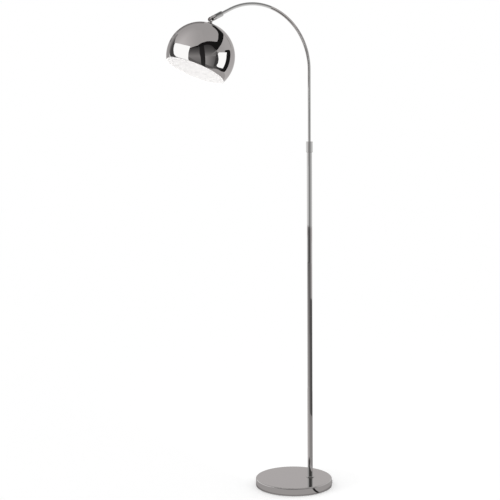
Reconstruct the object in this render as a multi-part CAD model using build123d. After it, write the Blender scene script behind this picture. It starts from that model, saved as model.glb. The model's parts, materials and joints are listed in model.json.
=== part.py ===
from build123d import *
import os
from math import cos, radians, sin, sqrt

# Arc floor lamp: a weighted round base, a two-piece pole, a bent stem that slides and turns in a collar,
# and a dome shade on a tilting knuckle. Millimetres and degrees. Z is up, the floor is z = 0 and the
# middle of the base is the origin. The arch lies in a plane parallel to XZ and reaches towards -X.

os.makedirs("parts", exist_ok=True)

# Clearances
FIT = 0.08             # gap on the radius where pieces are pressed or screwed together
RUN = 0.1              # gap on the radius where pieces slide or turn on each other
SEAT = 0.05            # gap between flat faces that turn against each other
CLEAR = 0.35           # gap where pieces pass each other without bearing

# Base
BASE_DIAMETER = 230.0
BASE_HEIGHT = 24.0     # floor to the top of the cover
COVER_WALL = 1.2       # pressed steel sheet
COVER_EDGE = 3.5       # outer radius of the cover's top edge
PAD_THICKNESS = 2.2    # felt, stands proud of the cover's rim
PAD_MARGIN = 4.0       # pad edge inside the cover's outer face
WEIGHT_WEB = 3.5       # iron left above the nut pocket

# Foot of the pole
POLE_OFFSET = 50.0     # pole axis from the middle of the base
POLE_ANGLE = -26.0     # direction of that offset, seen from above, with the arch at rest
STUD_DIAMETER = 10.0   # hollow threaded stud
STUD_BORE = 6.2
NUT_ACROSS = 17.0      # nut on the stud, across the flats
NUT_HEIGHT = 4.0
WASHER_DIAMETER = 26.0
WASHER_THICKNESS = 1.5
INSERT_LENGTH = 28.0   # threaded plug in the bottom of the pole
FLANGE_DIAMETER = 24.0
FLANGE_HEIGHT = 3.0

# Cord inlet in the cover's rim
INLET_BORE = 6.4
INLET_NECK_WALL = 1.0
INLET_LIP = 1.2        # how far the lips reach past the hole in the cover
INLET_LIP_THICKNESS = 1.6

# Pole
POLE_DIAMETER = 15.5
POLE_WALL = 1.2
LOWER_POLE = 492.7     # length of the lower tube
UPPER_POLE = 506.0     # length of the upper tube
JOINER_LENGTH = 70.0
JOINER_BORE = 6.4
TUBE_BREAK = 0.3       # small bevel on tube ends

# Collar and guide at the top of the pole
COLLAR_DIAMETER = 19.5
COLLAR_LENGTH = 32.0
COLLAR_OVERLAP = 18.5  # collar below the top of the pole
COLLAR_LID = 2.0
COLLAR_EDGE = 0.8
GUIDE_DEPTH = 30.0     # nylon guide inside the pole
GUIDE_FLANGE = 2.0     # height of the guide's flange on top of the pole
GUIDE_WALL = 1.5       # guide wall around the stem in the collar
SCREW_DIAMETER = 4.0   # grub screw that sets the drag on the guide
SCREW_KEY = 2.0        # hexagon socket, across the flats

# Stem and arch
STEM_DIAMETER = 9.0
STEM_WALL = 1.0
STEM_RISE = 208.2      # straight stem from the collar to the bend
STEM_UP = 100.0        # travel upwards from this position
STEM_DOWN = 185.0      # travel downwards from this position
SLIDER_LENGTH = 18.0   # nylon slider on the stem's lower end
SLIDER_FLOOR = 4.0
BEND_RADIUS = 182.8
BEND_SWEEP = 116.2
ARM_STRAIGHT = 27.9    # straight tube between the bend and the ferrule

# Lead inside the tubes
LEAD_DIAMETER = 4.6
LEAD_BEND = 8.0        # bend from the base channel up into the pole
LEAD_SPACE = 0.3       # room around the lead where it is guided

# Knuckle between the arch and the shade
FORK_DIAMETER = 15.0
FORK_LENGTH = 38.0     # ferrule face to the pivot
FORK_SOCKET = 20.0     # how far the tube goes into the ferrule
TONGUE_THICKNESS = 4.4
TONGUE_DIAMETER = 11.4
DISC_THICKNESS = 0.6   # friction discs
PIVOT_DIAMETER = 4.0
PIVOT_HEAD = 7.0
PIVOT_HEAD_HEIGHT = 1.8
PIVOT_NUT = 7.0        # across the flats
PIVOT_NUT_HEIGHT = 3.0
SPOT_DEPTH = 1.0       # flats cut in the ferrule for the screw head and the nut
SWING_GAP = 0.5        # fork end to the neck that swings past it

# Neck of the shade
NECK_DIAMETER = 9.0
NECK_LENGTH = 2.0
SHOULDER_DIAMETER = 13.0
SHOULDER_HEIGHT = 2.0
CAP_DIAMETER = 17.0
CAP_HEIGHT = 2.0
SPIGOT_DIAMETER = 10.0
SPIGOT_BORE = 5.8

# Shade
SHADE_RADIUS = 95.5    # outside of the dome
SHADE_WALL = 0.8
SHADE_DROP = 43.5      # middle of the dome to the plane of the opening
NECK_TILT = 18.7       # lean of the neck from upright, at rest
OPENING_TURN = 5.8     # further lean of the opening in the dome

# Lamp holder and bulb
LOCK_DIAMETER = 17.0   # toothed washer under the dome
LOCK_THICKNESS = 0.8
LOCK_NUT_ACROSS = 14.0
LOCK_NUT_HEIGHT = 3.5
HOLDER_DIAMETER = 39.0
HOLDER_WALL = 2.0
HOLDER_CAP_HEIGHT = 17.0
HOLDER_CAP_TOP = 3.0
HOLDER_CAP_EDGE = 5.0
HOLDER_MOUTH = 1.5     # holder's lower edge above the bulb's housing
HOLDER_LAP = 5.0       # body inside the cap
CORE_THICKNESS = 8.0
CONTACT_DIAMETER = 9.0
CONTACT_THICKNESS = 1.0
TERMINAL_DIAMETER = 5.0
TERMINAL_HEIGHT = 3.0
TERMINAL_SPREAD = 10.0
SHELL_WALL = 0.6
SHELL_INSET = 1.0      # threaded shell above the holder's lower edge
SCREW_CAP_DIAMETER = 26.4
SCREW_CAP_LENGTH = 20.0
SCREW_CAP_WALL = 0.8
THREAD_PITCH = 3.6
THREAD_DEPTH = 0.7
TIP_DIAMETER = 10.0
TIP_HEIGHT = 3.0
HOUSING_DIAMETER = 33.0
HOUSING_LENGTH = 13.0
GLOBE_DIAMETER = 45.0
GLOBE_WALL = 1.2


# Heights and places that follow from the sizes above
base_radius = BASE_DIAMETER / 2
cover_inside = base_radius - COVER_WALL
inner_edge = max(COVER_EDGE - COVER_WALL, 0.3)
rim_height = PAD_THICKNESS / 2
weight_top = BASE_HEIGHT - COVER_WALL
web_under = weight_top - WEIGHT_WEB
nut_top = web_under - WASHER_THICKNESS
stud_bottom = nut_top - NUT_HEIGHT - 0.5
pole_x = POLE_OFFSET * cos(radians(POLE_ANGLE))
pole_y = POLE_OFFSET * sin(radians(POLE_ANGLE))
pole_bore = POLE_DIAMETER - 2 * POLE_WALL
pole_middle = BASE_HEIGHT + LOWER_POLE
pole_top = pole_middle + UPPER_POLE
collar_bottom = pole_top - COLLAR_OVERLAP
collar_top = collar_bottom + COLLAR_LENGTH
guide_bottom = pole_top - GUIDE_DEPTH
guide_step = pole_top + SEAT + GUIDE_FLANGE
guide_top = collar_top - COLLAR_LID - SEAT
guide_bore = STEM_DIAMETER + 2 * RUN
guide_neck = guide_bore + 2 * GUIDE_WALL
slider_top = guide_bottom - STEM_UP - 2.0
slider_bottom = slider_top - SLIDER_LENGTH
stem_bottom = slider_bottom + SLIDER_FLOOR
lead_top = slider_bottom - STEM_DOWN - 10.0
bend_height = collar_top + STEM_RISE
lip_radius = INLET_BORE / 2 + INLET_NECK_WALL + INLET_LIP
inlet_height = rim_height + lip_radius + 0.4
inlet_inner = sqrt(cover_inside**2 - lip_radius**2) - SEAT
pivot_x = pole_x - BEND_RADIUS + BEND_RADIUS * cos(radians(BEND_SWEEP))
pivot_x = pivot_x - (ARM_STRAIGHT + FORK_LENGTH) * sin(radians(BEND_SWEEP))
pivot_z = bend_height + BEND_RADIUS * sin(radians(BEND_SWEEP))
pivot_z = pivot_z + (ARM_STRAIGHT + FORK_LENGTH) * cos(radians(BEND_SWEEP))
fork_radius = FORK_DIAMETER / 2
slot_width = TONGUE_THICKNESS + 2 * DISC_THICKNESS + 4 * SEAT
slot_floor = TONGUE_DIAMETER / 2 + SWING_GAP
fork_flat = fork_radius - SPOT_DEPTH

# Heights on the shade's own axis, measured from the pivot
neck_start = -(fork_radius + SWING_GAP)
shoulder_top = neck_start - NECK_LENGTH
cap_top = shoulder_top - SHOULDER_HEIGHT
dome_top = cap_top - CAP_HEIGHT
dome_under = dome_top - SHADE_WALL
flat_radius = CAP_DIAMETER / 2 + 0.5
dome_middle = dome_top - sqrt(SHADE_RADIUS**2 - flat_radius**2)
lock_nut_top = dome_under - LOCK_THICKNESS
holder_top = lock_nut_top - LOCK_NUT_HEIGHT - SEAT
spigot_bottom = holder_top - HOLDER_CAP_TOP - 1.5
holder_joint = holder_top - HOLDER_CAP_HEIGHT
holder_bore = HOLDER_DIAMETER - 4 * HOLDER_WALL
core_top = holder_joint + HOLDER_LAP - 1.0
core_bottom = core_top - CORE_THICKNESS
tip_top = core_bottom - CONTACT_THICKNESS - SEAT
screw_top = tip_top - TIP_HEIGHT
screw_bottom = screw_top - SCREW_CAP_LENGTH
holder_bottom = screw_bottom + HOLDER_MOUTH
shell_bottom = holder_bottom + SHELL_INSET
shell_bore = SCREW_CAP_DIAMETER + 2 * LEAD_SPACE
housing_bottom = screw_bottom - HOUSING_LENGTH
globe_rise = sqrt((GLOBE_DIAMETER / 2) ** 2 - (HOUSING_DIAMETER / 2) ** 2)
globe_middle = housing_bottom - globe_rise

# Where each group of pieces sits
AT_POLE = Pos(pole_x, pole_y, 0)
AT_FORK = Pos(pivot_x, pole_y, pivot_z) * Rot(0, 180 - BEND_SWEEP, 0)
AT_HEAD = Pos(pivot_x, pole_y, pivot_z) * Rot(0, NECK_TILT, 0)
RADIAL = Rot(0, 0, POLE_ANGLE)
ON_FLOOR = (Align.CENTER, Align.CENTER, Align.MIN)
made = []


def keep(name, shape):
    """Write one piece as its own STEP file."""
    export_step(shape, f"parts/{name}.step")
    made.append(name)
    print(f"{name:22s} {shape.volume / 1000:9.3f} cm3")


def rod(diameter, bottom, top):
    """Upright round bar between two heights."""
    return Pos(0, 0, bottom) * Cylinder(diameter / 2, top - bottom, align=ON_FLOOR)


def tube(outer, inner, bottom, top):
    """Upright round tube between two heights."""
    return rod(outer, bottom, top) - rod(inner, bottom - 1, top + 1)


def hexagon(across, bottom, top):
    """Upright hexagon bar, sized across its flats."""
    outline = RegularPolygon(across / 2, 6, major_radius=False)
    return Pos(0, 0, bottom) * extrude(outline, amount=top - bottom)


def crossbar(diameter, near, far):
    """Round bar along Y between two places."""
    return Rot(-90, 0, 0) * rod(diameter, near, far)


def rims(shape, height):
    """The circular edges of a piece that lie at one height."""
    return [e for e in shape.edges().filter_by(GeomType.CIRCLE) if abs(e.center().Z - height) < 1e-4]


def widest(shape, height):
    """The largest circular edge at one height."""
    return max(rims(shape, height), key=lambda e: e.radius)


def inlet_bar(diameter, near, far):
    """Round bar along the cord inlet, between two distances from the middle of the base."""
    return RADIAL * Pos(0, 0, inlet_height) * Rot(0, 90, 0) * rod(diameter, near, far)


def arch_path(start, run_on):
    """The stem's centre line, from a height in the pole to a length past the end of the bend."""
    middle_x = pole_x - BEND_RADIUS
    half = radians(BEND_SWEEP / 2)
    full = radians(BEND_SWEEP)
    foot = Vector(pole_x, pole_y, start)
    spring = Vector(pole_x, pole_y, bend_height)
    crown = Vector(middle_x + BEND_RADIUS * cos(half), pole_y, bend_height + BEND_RADIUS * sin(half))
    leave = Vector(middle_x + BEND_RADIUS * cos(full), pole_y, bend_height + BEND_RADIUS * sin(full))
    end = leave + Vector(-sin(full), 0, cos(full)) * run_on
    return Wire([Edge.make_line(foot, spring), Edge.make_three_point_arc(spring, crown, leave),
                 Edge.make_line(leave, end)])


def along_arch(diameter, start, run_on):
    """Round bar bent along the stem's centre line."""
    return sweep(Pos(pole_x, pole_y, start) * Circle(diameter / 2), path=arch_path(start, run_on))


# The base: felt pad, iron weight and pressed cover
base_pad = rod(BASE_DIAMETER - 2 * PAD_MARGIN, 0, PAD_THICKNESS)
keep("base_pad", base_pad)

cover_outer = rod(BASE_DIAMETER, rim_height, BASE_HEIGHT)
cover_outer = fillet(widest(cover_outer, BASE_HEIGHT), COVER_EDGE)
cover_inner = rod(2 * cover_inside, 0, weight_top)
cover_inner = fillet(widest(cover_inner, weight_top), inner_edge)
inlet_hole = INLET_BORE + 2 * INLET_NECK_WALL + 2 * FIT
base_cover = cover_outer - cover_inner
base_cover -= AT_POLE * rod(STUD_DIAMETER + 2 * FIT, 0, BASE_HEIGHT + 1)
base_cover -= inlet_bar(inlet_hole, cover_inside - 5, base_radius + 5)
keep("base_cover", base_cover)

nut_pocket = WASHER_DIAMETER + 4.0
channel_width = LEAD_DIAMETER + 2 * LEAD_SPACE
channel_roof = inlet_height + channel_width / 2
channel_length = base_radius - POLE_OFFSET
channel = Box(channel_length, channel_width, channel_roof - PAD_THICKNESS + 1,
              align=(Align.MIN, Align.CENTER, Align.MAX))
base_weight = rod(2 * (cover_inside - FIT), PAD_THICKNESS, weight_top)
base_weight = fillet(widest(base_weight, weight_top), inner_edge)
base_weight -= AT_POLE * rod(STUD_DIAMETER + 2 * FIT, 0, BASE_HEIGHT)
base_weight -= AT_POLE * rod(nut_pocket, 0, web_under)
base_weight -= RADIAL * Pos(POLE_OFFSET, 0, channel_roof) * channel
base_weight -= inlet_bar(2 * lip_radius + 1.0, inlet_inner - INLET_LIP_THICKNESS - 1, base_radius)
keep("base_weight", base_weight)

# The cord inlet: a bush with a lip on each side of the cover's wall
inlet_outer = base_radius + SEAT
cord_inlet = inlet_bar(INLET_BORE + 2 * INLET_NECK_WALL, inlet_inner - 0.1, inlet_outer + 0.1)
cord_inlet += inlet_bar(2 * lip_radius, inlet_outer, inlet_outer + INLET_LIP_THICKNESS)
cord_inlet += inlet_bar(2 * lip_radius, inlet_inner - INLET_LIP_THICKNESS, inlet_inner)
cord_inlet -= inlet_bar(INLET_BORE, inlet_inner - 10, inlet_outer + 10)
keep("cord_inlet", cord_inlet)

# The foot: stud, washer, nut, threaded plug and the ring that hides the joint
foot_stud = tube(STUD_DIAMETER, STUD_BORE, stud_bottom, BASE_HEIGHT + INSERT_LENGTH - 6)
keep("foot_stud", AT_POLE * foot_stud)
foot_washer = tube(WASHER_DIAMETER, STUD_DIAMETER + 2 * FIT, nut_top, web_under)
keep("foot_washer", AT_POLE * foot_washer)
foot_nut = hexagon(NUT_ACROSS, nut_top - NUT_HEIGHT, nut_top) - rod(STUD_DIAMETER + 2 * FIT, 0, BASE_HEIGHT)
keep("foot_nut", AT_POLE * foot_nut)
foot_insert = tube(pole_bore - 2 * FIT, STUD_DIAMETER + 2 * FIT, BASE_HEIGHT, BASE_HEIGHT + INSERT_LENGTH)
keep("foot_insert", AT_POLE * foot_insert)
flange_top = BASE_HEIGHT + FLANGE_HEIGHT
foot_flange = rod(FLANGE_DIAMETER, BASE_HEIGHT, flange_top)
foot_flange = fillet(widest(foot_flange, flange_top), FLANGE_HEIGHT / 2)
foot_flange -= rod(POLE_DIAMETER + 2 * FIT, 0, flange_top + 1)
keep("foot_flange", AT_POLE * foot_flange)

# The pole: two tubes and the sleeve that joins them
pole_lower = tube(POLE_DIAMETER, pole_bore, BASE_HEIGHT, pole_middle)
pole_lower = chamfer(widest(pole_lower, pole_middle), TUBE_BREAK)
keep("pole_lower", AT_POLE * pole_lower)
pole_upper = tube(POLE_DIAMETER, pole_bore, pole_middle, pole_top)
pole_upper = chamfer(widest(pole_upper, pole_middle), TUBE_BREAK)
keep("pole_upper", AT_POLE * pole_upper)
joiner_half = JOINER_LENGTH / 2
pole_joiner = tube(pole_bore - 2 * FIT, JOINER_BORE, pole_middle - joiner_half, pole_middle + joiner_half)
keep("pole_joiner", AT_POLE * pole_joiner)

# The collar, its grub screw and the nylon guide that turns inside it
stem_collar = rod(COLLAR_DIAMETER, collar_bottom, collar_top)
stem_collar = fillet([widest(stem_collar, collar_top), widest(stem_collar, collar_bottom)], COLLAR_EDGE)
stem_collar -= rod(POLE_DIAMETER + 2 * FIT, collar_bottom - 1, guide_step + SEAT)
stem_collar -= rod(guide_neck + 2 * RUN, guide_step - 1, guide_top + SEAT)
stem_collar -= rod(STEM_DIAMETER + 2 * CLEAR, guide_top - 1, collar_top + 1)
screw_height = (guide_step + guide_top) / 2
screw_place = Pos(0, 0, screw_height) * Rot(0, 90, 0)
screw_tip = guide_neck / 2 + CLEAR
screw_end = COLLAR_DIAMETER / 2 - CLEAR
stem_collar -= screw_place * rod(SCREW_DIAMETER + 2 * FIT, 0, COLLAR_DIAMETER)
collar_screw = rod(SCREW_DIAMETER, screw_tip, screw_end)
collar_screw -= hexagon(SCREW_KEY, (screw_tip + screw_end) / 2, screw_end + 1)
keep("stem_collar", AT_POLE * RADIAL * stem_collar)
keep("collar_screw", AT_POLE * RADIAL * screw_place * collar_screw)

guide_bush = rod(pole_bore - 2 * RUN, guide_bottom, pole_top + SEAT + 0.1)
guide_bush += rod(POLE_DIAMETER - 2 * CLEAR, pole_top + SEAT, guide_step)
guide_bush += rod(guide_neck, guide_step - 0.1, guide_top)
guide_bush -= rod(guide_bore, guide_bottom - 1, guide_top + 1)
keep("guide_bush", AT_POLE * guide_bush)

# The stem: one bent tube, with a slider on its lower end
tube_end = ARM_STRAIGHT + FORK_SOCKET
arch_tube = along_arch(STEM_DIAMETER, stem_bottom, tube_end)
arch_tube -= along_arch(STEM_DIAMETER - 2 * STEM_WALL, stem_bottom, tube_end)
keep("arch_tube", arch_tube)
stem_slider = rod(pole_bore - 2 * RUN, slider_bottom, slider_top)
stem_slider -= rod(STEM_DIAMETER + 2 * FIT, stem_bottom, slider_top + 1)
stem_slider -= rod(LEAD_DIAMETER + 2 * FIT, slider_bottom - 1, slider_top)
keep("stem_slider", AT_POLE * stem_slider)

# The leads, each ending short of a moving joint
lead_start = inlet_inner - INLET_LIP_THICKNESS - FIT
lead_turn = POLE_OFFSET + LEAD_BEND
turn_middle = Vector(lead_turn - LEAD_BEND * sin(radians(45)), 0,
                     inlet_height + LEAD_BEND * (1 - cos(radians(45))))
lead_a = Vector(lead_start, 0, inlet_height)
lead_b = Vector(lead_turn, 0, inlet_height)
lead_c = Vector(POLE_OFFSET, 0, inlet_height + LEAD_BEND)
lead_d = Vector(POLE_OFFSET, 0, lead_top)
lead_path = Wire([Edge.make_line(lead_a, lead_b), Edge.make_three_point_arc(lead_b, turn_middle, lead_c),
                  Edge.make_line(lead_c, lead_d)])
lead_mouth = Pos(lead_start, 0, inlet_height) * Rot(0, -90, 0) * Circle(LEAD_DIAMETER / 2)
stand_lead = sweep(lead_mouth, path=lead_path)
keep("stand_lead", RADIAL * stand_lead)
arch_lead = along_arch(LEAD_DIAMETER, slider_bottom, tube_end + 2)
keep("arch_lead", arch_lead)

# The knuckle: a ferrule with a forked end, the pivot screw and the friction discs
round_end = rod(FORK_DIAMETER, -fork_radius, 0.1) & crossbar(FORK_DIAMETER, -fork_radius, fork_radius)
knuckle_fork = rod(FORK_DIAMETER, 0, FORK_LENGTH)
knuckle_fork = fillet(widest(knuckle_fork, FORK_LENGTH), 0.8)
knuckle_fork += round_end
slot = Box(2 * FORK_DIAMETER, slot_width, FORK_DIAMETER, align=(Align.CENTER, Align.CENTER, Align.MAX))
knuckle_fork -= Pos(0, 0, slot_floor) * slot
knuckle_fork -= rod(STEM_DIAMETER + 2 * FIT, FORK_LENGTH - FORK_SOCKET, FORK_LENGTH + 1)
knuckle_fork -= rod(LEAD_DIAMETER + 2 * LEAD_SPACE, 0, FORK_LENGTH)
knuckle_fork -= crossbar(PIVOT_DIAMETER + 2 * FIT, -FORK_DIAMETER, FORK_DIAMETER)
knuckle_fork -= crossbar(PIVOT_HEAD + 4 * FIT, -FORK_DIAMETER, -fork_flat)
knuckle_fork -= crossbar(1.16 * PIVOT_NUT + 4 * FIT, fork_flat, FORK_DIAMETER)
keep("knuckle_fork", AT_FORK * knuckle_fork)

nut_end = fork_flat + PIVOT_NUT_HEIGHT
knuckle_screw = crossbar(PIVOT_DIAMETER, -fork_flat, nut_end - 0.5)
screw_head = crossbar(PIVOT_HEAD, -fork_flat - PIVOT_HEAD_HEIGHT, -fork_flat)
head_slot = Box(2 * PIVOT_HEAD, PIVOT_HEAD_HEIGHT, 1.0)
screw_head -= Pos(0, -fork_flat - PIVOT_HEAD_HEIGHT, 0) * head_slot
knuckle_screw += screw_head
keep("knuckle_screw", AT_FORK * knuckle_screw)
knuckle_nut = Rot(-90, 0, 0) * hexagon(PIVOT_NUT, fork_flat, nut_end)
knuckle_nut -= crossbar(PIVOT_DIAMETER + 2 * FIT, 0, FORK_DIAMETER)
keep("knuckle_nut", AT_FORK * knuckle_nut)
disc_near = TONGUE_THICKNESS / 2 + SEAT
friction_disc = crossbar(TONGUE_DIAMETER, disc_near, disc_near + DISC_THICKNESS)
friction_disc -= crossbar(PIVOT_DIAMETER + 2 * FIT, 0, FORK_DIAMETER)
keep("friction_disc_rear", AT_FORK * friction_disc)
keep("friction_disc_front", AT_FORK * mirror(friction_disc, about=Plane.XZ))

# The neck: a tongue that turns in the fork and a hollow threaded spigot that carries the shade
tongue_half = TONGUE_THICKNESS / 2
knuckle_tongue = crossbar(TONGUE_DIAMETER, -tongue_half, tongue_half)
blade = Box(NECK_DIAMETER, TONGUE_THICKNESS, -neck_start, align=(Align.CENTER, Align.CENTER, Align.MAX))
knuckle_tongue += blade
knuckle_tongue += rod(NECK_DIAMETER, shoulder_top - 0.1, neck_start)
knuckle_tongue += rod(SHOULDER_DIAMETER, cap_top, shoulder_top)
knuckle_tongue += rod(SPIGOT_DIAMETER, spigot_bottom, cap_top + 0.1)
knuckle_tongue -= crossbar(PIVOT_DIAMETER + 2 * RUN, -FORK_DIAMETER, FORK_DIAMETER)
knuckle_tongue -= rod(SPIGOT_BORE, spigot_bottom - 1, shoulder_top)
keep("knuckle_tongue", AT_HEAD * knuckle_tongue)

shade_cap = rod(CAP_DIAMETER, dome_top, cap_top)
shade_cap = fillet(widest(shade_cap, cap_top), CAP_HEIGHT / 2)
shade_cap -= rod(SPIGOT_DIAMETER + 2 * FIT, dome_top - 1, cap_top + 1)
keep("shade_cap", AT_HEAD * shade_cap)

# The shade: a spun dome with a flat for the neck and an opening turned a little from the neck's axis
big = 3 * SHADE_RADIUS
BELOW = (Align.CENTER, Align.CENTER, Align.MAX)
dome_outer = Pos(0, 0, dome_middle) * Sphere(SHADE_RADIUS)
dome_outer &= Pos(0, 0, dome_top) * Box(big, big, big, align=BELOW)
dome_inner = Pos(0, 0, dome_middle) * Sphere(SHADE_RADIUS - SHADE_WALL)
dome_inner &= Pos(0, 0, dome_under) * Box(big, big, big, align=BELOW)
opening = Pos(0, 0, dome_middle) * Rot(0, OPENING_TURN, 0) * Pos(0, 0, -SHADE_DROP)
shade = dome_outer - dome_inner
shade -= opening * Box(big, big, big, align=BELOW)
shade -= rod(SPIGOT_DIAMETER + 2 * FIT, dome_under - 1, dome_top + 1)
keep("shade", AT_HEAD * shade)

lock_washer = tube(LOCK_DIAMETER, SPIGOT_DIAMETER + 2 * FIT, lock_nut_top, dome_under)
keep("lock_washer", AT_HEAD * lock_washer)
lock_nut = hexagon(LOCK_NUT_ACROSS, lock_nut_top - LOCK_NUT_HEIGHT, lock_nut_top)
lock_nut -= rod(SPIGOT_DIAMETER + 2 * FIT, holder_top - 1, lock_nut_top + 1)
keep("lock_nut", AT_HEAD * lock_nut)

# The lamp holder: cap, body, core, contacts and threaded shell
cap_bore = HOLDER_DIAMETER - 2 * HOLDER_WALL
holder_cap = rod(HOLDER_DIAMETER, holder_joint, holder_top)
holder_cap = fillet(widest(holder_cap, holder_top), HOLDER_CAP_EDGE)
cap_hollow = rod(cap_bore, holder_joint - 1, holder_top - HOLDER_CAP_TOP)
hollow_edge = widest(cap_hollow, holder_top - HOLDER_CAP_TOP)
holder_cap -= fillet(hollow_edge, max(HOLDER_CAP_EDGE - HOLDER_WALL, 0.3))
holder_cap -= rod(SPIGOT_DIAMETER + 2 * FIT, holder_joint, holder_top + 1)
keep("holder_cap", AT_HEAD * holder_cap)

shell_outer = shell_bore + 2 * SHELL_WALL
holder_body = rod(HOLDER_DIAMETER, holder_bottom, holder_joint)
holder_body += rod(cap_bore - 2 * FIT, holder_joint - 0.1, holder_joint + HOLDER_LAP)
holder_body -= rod(holder_bore, core_bottom, holder_joint + HOLDER_LAP + 1)
holder_body -= rod(shell_outer + 2 * FIT, holder_bottom - 1, core_bottom + 1)
keep("holder_body", AT_HEAD * holder_body)
holder_core = rod(holder_bore - 2 * FIT, core_bottom, core_top)
keep("holder_core", AT_HEAD * holder_core)
for side, word in ((-1, "left"), (1, "right")):
    terminal = Pos(0, side * TERMINAL_SPREAD, 0) * rod(TERMINAL_DIAMETER, core_top, core_top + TERMINAL_HEIGHT)
    terminal -= Pos(0, side * TERMINAL_SPREAD, core_top + TERMINAL_HEIGHT) * Box(TERMINAL_DIAMETER * 2, 0.8, 1.6)
    keep(f"terminal_{word}", AT_HEAD * terminal)
centre_contact = rod(CONTACT_DIAMETER, core_bottom - CONTACT_THICKNESS, core_bottom)
keep("centre_contact", AT_HEAD * centre_contact)
holder_shell = tube(shell_outer, shell_bore, shell_bottom, core_bottom)
keep("holder_shell", AT_HEAD * holder_shell)
head_lead = rod(LEAD_DIAMETER, core_top, shoulder_top - 1)
keep("head_lead", AT_HEAD * head_lead)

# The bulb: contact, screw cap with a rolled thread, housing and globe
bulb_contact = rod(TIP_DIAMETER, screw_top, tip_top)
bulb_contact = fillet(widest(bulb_contact, tip_top), TIP_HEIGHT / 3)
keep("bulb_contact", AT_HEAD * bulb_contact)
crest = SCREW_CAP_DIAMETER / 2
root = crest - THREAD_DEPTH
turns = int((SCREW_CAP_LENGTH - 4) / THREAD_PITCH)
outline = [(TIP_DIAMETER / 2, screw_top), (root, screw_top - 2)]
for turn in range(turns):
    start = screw_top - 2 - turn * THREAD_PITCH
    outline += [(crest, start - 0.35 * THREAD_PITCH), (crest, start - 0.65 * THREAD_PITCH)]
    outline += [(root, start - THREAD_PITCH)]
inside = root - SCREW_CAP_WALL
outline += [(root, screw_bottom), (inside, screw_bottom), (inside, screw_top - 2 - SCREW_CAP_WALL)]
outline += [(TIP_DIAMETER / 2, screw_top - SCREW_CAP_WALL)]
cap_face = Plane.XZ * make_face(Polyline(*outline, close=True))
bulb_cap = revolve(cap_face, axis=Axis.Z)
keep("bulb_cap", AT_HEAD * bulb_cap)

housing_inner = HOUSING_DIAMETER / 2 - GLOBE_WALL
housing_outline = [(root, screw_bottom), (HOUSING_DIAMETER / 2, housing_bottom), (housing_inner, housing_bottom),
                   (inside, screw_bottom)]
housing_face = Plane.XZ * make_face(Polyline(*housing_outline, close=True))
bulb_housing = revolve(housing_face, axis=Axis.Z)
keep("bulb_housing", AT_HEAD * bulb_housing)

globe_cut = Pos(0, 0, housing_bottom) * Box(big, big, big, align=BELOW)
bulb_globe = Pos(0, 0, globe_middle) * (Sphere(GLOBE_DIAMETER / 2) - Sphere(GLOBE_DIAMETER / 2 - GLOBE_WALL))
bulb_globe &= globe_cut
keep("bulb_globe", AT_HEAD * bulb_globe)

print(f"{len(made)} pieces")
print(f"swivel and slide axis: x {pole_x:.3f} y {pole_y:.3f}")
print(f"tilt pivot: x {pivot_x:.3f} y {pole_y:.3f} z {pivot_z:.3f}")
print(f"inlet: z {inlet_height:.3f}, from {inlet_inner - INLET_LIP_THICKNESS:.3f}"
      f" to {inlet_outer + INLET_LIP_THICKNESS:.3f}")
print(f"guide middle z {(guide_bottom + guide_top) / 2:.3f}, slider {slider_bottom:.3f} to {slider_top:.3f}")
print(f"dome middle on its axis {dome_middle:.3f}, globe end {globe_middle - GLOBE_DIAMETER / 2:.3f}")
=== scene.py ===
# %% [markdown]
# # An arc floor lamp in chrome
# The lamp stands on a heavy round foot. A pole rises near the foot's edge, a thinner stem slides out of the
# pole's collar, bends over at the top, and carries a chrome dome that is white inside. The solids come from a
# CAD model and are a fixed frame here: they stay where they are, and this script gives them their finishes.
# Where the solid is too plain for a close look, a new piece is built in its place.

# %% Load the frame
import json
from math import acos, atan2, cos, pi, radians, sin, sqrt

import bpy
from mathutils import Matrix, Vector

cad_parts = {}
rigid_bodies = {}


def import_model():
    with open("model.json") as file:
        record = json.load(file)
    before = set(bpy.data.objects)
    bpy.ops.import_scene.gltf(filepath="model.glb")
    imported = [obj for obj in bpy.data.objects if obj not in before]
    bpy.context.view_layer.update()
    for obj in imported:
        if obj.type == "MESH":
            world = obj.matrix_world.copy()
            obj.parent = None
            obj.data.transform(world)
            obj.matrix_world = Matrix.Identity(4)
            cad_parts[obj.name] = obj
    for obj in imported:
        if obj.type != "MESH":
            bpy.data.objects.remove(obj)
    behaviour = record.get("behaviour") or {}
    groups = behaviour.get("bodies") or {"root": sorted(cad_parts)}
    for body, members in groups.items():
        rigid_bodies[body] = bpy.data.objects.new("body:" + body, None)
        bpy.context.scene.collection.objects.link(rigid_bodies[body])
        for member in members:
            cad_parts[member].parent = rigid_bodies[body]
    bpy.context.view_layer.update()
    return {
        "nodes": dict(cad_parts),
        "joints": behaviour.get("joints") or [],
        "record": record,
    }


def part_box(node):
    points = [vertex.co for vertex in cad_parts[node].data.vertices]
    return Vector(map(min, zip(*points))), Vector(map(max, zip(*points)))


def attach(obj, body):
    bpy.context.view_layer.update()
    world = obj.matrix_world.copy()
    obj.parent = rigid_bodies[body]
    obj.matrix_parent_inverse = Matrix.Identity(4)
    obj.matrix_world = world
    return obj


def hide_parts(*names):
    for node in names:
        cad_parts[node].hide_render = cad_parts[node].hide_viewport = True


scene = bpy.context.scene
for leftover in list(bpy.data.objects):
    bpy.data.objects.remove(leftover)
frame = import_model()
nodes = frame["nodes"]
joints = {joint["name"]: joint for joint in frame["joints"]}

# %% [markdown]
# ## The camera
# A product picture like this is taken from a few metres away with a longish lens, so that the pole doesn't
# lean and the foot is seen as a flat ellipse. The place and the lens were found by fitting the foot, the pole,
# the bend and the dome's rim to their places in the picture. A direction and a roll say more to a reader than
# three Euler angles, so the rotation is built from them.

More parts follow.
